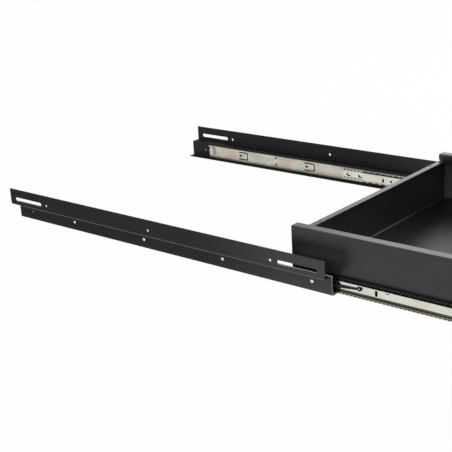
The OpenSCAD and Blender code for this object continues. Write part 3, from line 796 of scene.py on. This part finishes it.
def shade_plate(side):
    """A dark plate as painted shade behind the cage's plate, and a strip behind each of its
    toothed edges.
    """
    low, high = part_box(side + "_outer_retainer")
    web_x = high.x if side == "right" else low.x
    sign = 1 if side == "right" else -1
    xs = sorted([web_x + sign * SHADE_PLATE_GAP, web_x + sign * (SHADE_PLATE_GAP + SHADE_PLATE_THICK)])
    rear, front = high.y - SHADE_PLATE_INSET, low.y + SHADE_PLATE_INSET
    top = (high.z - low.z) / 2 - SHADE_PLATE_INSET
    plate_end = high.y - PLATE_LENGTH + SHADE_PLATE_INSET
    shape = bmesh.new()
    add_slab(shape, (xs[0], plate_end, SLIDE_MIDDLE - top), (xs[1], rear, SLIDE_MIDDLE + top))
    for edge in (-1, 1):
        zs = sorted([SLIDE_MIDDLE + edge * STRIP_INNER, SLIDE_MIDDLE + edge * top])
        add_slab(shape, (xs[0], front, zs[0]), (xs[1], plate_end, zs[1]))
    piece = new_piece(side + "_cage_liner", shape, acetal, side + "_outer_cage")
    return piece


shade_plates = [shade_plate(side) for side in ("left", "right")]
print("liners:", [tuple(round(d * 1000, 2) for d in piece.dimensions) for piece in shade_plates])

# %% [markdown]
# ## Paint in the drawer's corners
# Where two sheets meet inside the drawer, the powder pools into a thin rounded bead before it
# melts, and the bead catches a line of light. A bevel in the material can't fill a corner
# between two pieces, so each bead is a real strip: a quarter circle that is hollow towards
# the room, drawn along the seam.

# %% Lay the beads
BEAD = 0.0016
BEAD_STEPS = 6
SEAM_GAP = 0.00002

floor_low, floor_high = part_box("drawer_floor")
SHEET = floor_high.z - floor_low.z
INSIDE_X = side_high.x - SHEET
INSIDE_Y = back_high.y - SHEET
UNDER_FLANGE = back_high.z - SHEET


def add_bead(shape, start, end, across, along_wall):
    """A bead from start to end that fills the corner between the two given directions."""
    start, end, across, along_wall = (Vector(v) for v in (start, end, across, along_wall))
    arc = [math.pi / 2 * i / BEAD_STEPS for i in range(BEAD_STEPS + 1)]
    hollow = [(across * (1 - math.sin(a)) + along_wall * (1 - math.cos(a))) * BEAD for a in arc]
    rings = []
    for tip in (start, end):
        rings.append([shape.verts.new(tip + offset) for offset in [Vector()] + hollow])
    count = len(rings[0])
    for i in range(count):
        j = (i + 1) % count
        shape.faces.new((rings[0][i], rings[0][j], rings[1][j], rings[1][i]))
    shape.faces.new(rings[0][::-1])
    shape.faces.new(rings[1])


def corner_beads():
    """Beads round the floor and up the two rear corners, a hair away from the sheets."""
    x, y, z = INSIDE_X - SEAM_GAP, INSIDE_Y - SEAM_GAP, floor_high.z + SEAM_GAP
    front = floor_low.y + SHEET
    top = UNDER_FLANGE - 2 * BEAD
    shape = bmesh.new()
    add_bead(shape, (-x, y, z), (x, y, z), (0, -1, 0), (0, 0, 1))
    for s in (-1, 1):
        add_bead(shape, (s * x, front, z), (s * x, y, z), (-s, 0, 0), (0, 0, 1))
        add_bead(shape, (s * x, y, z), (s * x, y, top), (-s, 0, 0), (0, -1, 0))
    bmesh.ops.recalc_face_normals(shape, faces=shape.faces)
    piece = new_piece("corner_beads", shape, drawer_paint, "drawer")
    return piece


beads = corner_beads()
print("beads:", [round(d, 3) for d in beads.dimensions], "m")

# %% [markdown]
# ## Floor and background
# The photograph is a cut-out on white. The floor is a pale sheet below the hanging part. To
# the camera and to reflections it glows white, while a share of it stays ordinary matt paint,
# so the drawer still throws a faint shadow. From below it is clear. The world is white in the
# same way, and lights the object at a lower level.

# %% Backdrop
FLOOR_Z = -0.30
FLOOR_HALF = 12.0
FLOOR_CELLS = 8
SHADOW_SHARE = 0.02
GRAIN_SIZE = 0.02
PALE, PALER = (0.80, 0.80, 0.80), (0.84, 0.84, 0.84)
WHITE = (1, 1, 1, 1)


def seen_directly(finish):
    """1 for camera, mirror and glass rays, and 0 for the light that bounces around."""
    kinds = ("Is Camera Ray", "Is Glossy Ray", "Is Transmission Ray")
    camera_ray, glossy, glass = (finish.node("ShaderNodeLightPath", out=kind) for kind in kinds)
    return camera_ray.larger(glossy.larger(glass))


def floor_recipe():
    sheet = new_finish("pale_floor")
    skin = sheet.mix(sheet.noise(GRAIN_SIZE, detail=3), PALE, PALER)
    matt = sheet.node("ShaderNodeBsdfDiffuse", inputs={"Color": skin})
    glow = sheet.node("ShaderNodeEmission", inputs={"Color": WHITE, "Strength": 1.0})
    share = seen_directly(sheet) * (1 - SHADOW_SHARE)
    lit = sheet.node("ShaderNodeMixShader", inputs={0: share, 1: matt, 2: glow})
    clear = sheet.node("ShaderNodeBsdfTransparent")
    below_it = sheet.node("ShaderNodeNewGeometry", out="Backfacing")
    return sheet.show(sheet.node("ShaderNodeMixShader", inputs={0: below_it, 1: lit, 2: clear}))


floor_mesh = bpy.data.meshes.new("floor")
floor_shape = bmesh.new()
bmesh.ops.create_grid(floor_shape, x_segments=FLOOR_CELLS, y_segments=FLOOR_CELLS,
                      size=FLOOR_HALF)
bmesh.ops.translate(floor_shape, vec=(0, 0, FLOOR_Z), verts=floor_shape.verts)
floor_shape.to_mesh(floor_mesh)
floor_shape.free()
floor = bpy.data.objects.new("floor", floor_mesh)
floor_mesh.materials.append(floor_recipe())
bpy.context.scene.collection.objects.link(floor)
print("floor at", FLOOR_Z, "m")

# %% World
WORLD_LIGHT = 0.55

world = bpy.data.worlds.new("studio")
bpy.context.scene.world = world
sky = Finish(world)
level = seen_directly(sky) * (1 - WORLD_LIGHT) + WORLD_LIGHT
white_air = sky.node("ShaderNodeBackground", inputs={"Color": WHITE, "Strength": level})
sky.show(white_air, "ShaderNodeOutputWorld")
bpy.context.scene.view_settings.view_transform = "Standard"
print("world lights at", WORLD_LIGHT)

# %% [markdown]
# ## Softboxes
# A large softbox hangs beyond the right bracket, above the rims. The folded rims face up, so
# at a flat angle they mirror it and turn light grey, as in the photograph. A second one above
# the left front fills the drawer's inside, and a small one low at the left shines on its long
# side.

# %% Lamps
def softbox(name, place, target, size, radiance):
    """An area lamp whose face looks as bright as radiance."""
    lamp = bpy.data.lights.new(name, "AREA")
    lamp.shape = "RECTANGLE"
    lamp.size, lamp.size_y = size
    lamp.energy = radiance * math.pi * size[0] * size[1]
    holder = bpy.data.objects.new(name, lamp)
    bpy.context.scene.collection.objects.link(holder)
    holder.location = place
    aim = Vector(target) - Vector(place)
    holder.rotation_euler = aim.to_track_quat("-Z", "Y").to_euler()
    return holder


softboxes = [
    softbox("back_softbox", place=(2.7, 0.15, 1.15), target=(0.1, -0.2, 0),
            size=(3.4, 1.5), radiance=1.45),
    softbox("top_softbox", place=(-0.9, -0.7, 2.0), target=(0, -0.2, 0),
            size=(1.6, 1.6), radiance=0.6),
    softbox("side_softbox", place=(-1.7, -0.45, -0.1), target=(-0.2, -0.3, 0),
            size=(0.9, 0.5), radiance=1.5)]
print("softboxes:", [box.name for box in softboxes])
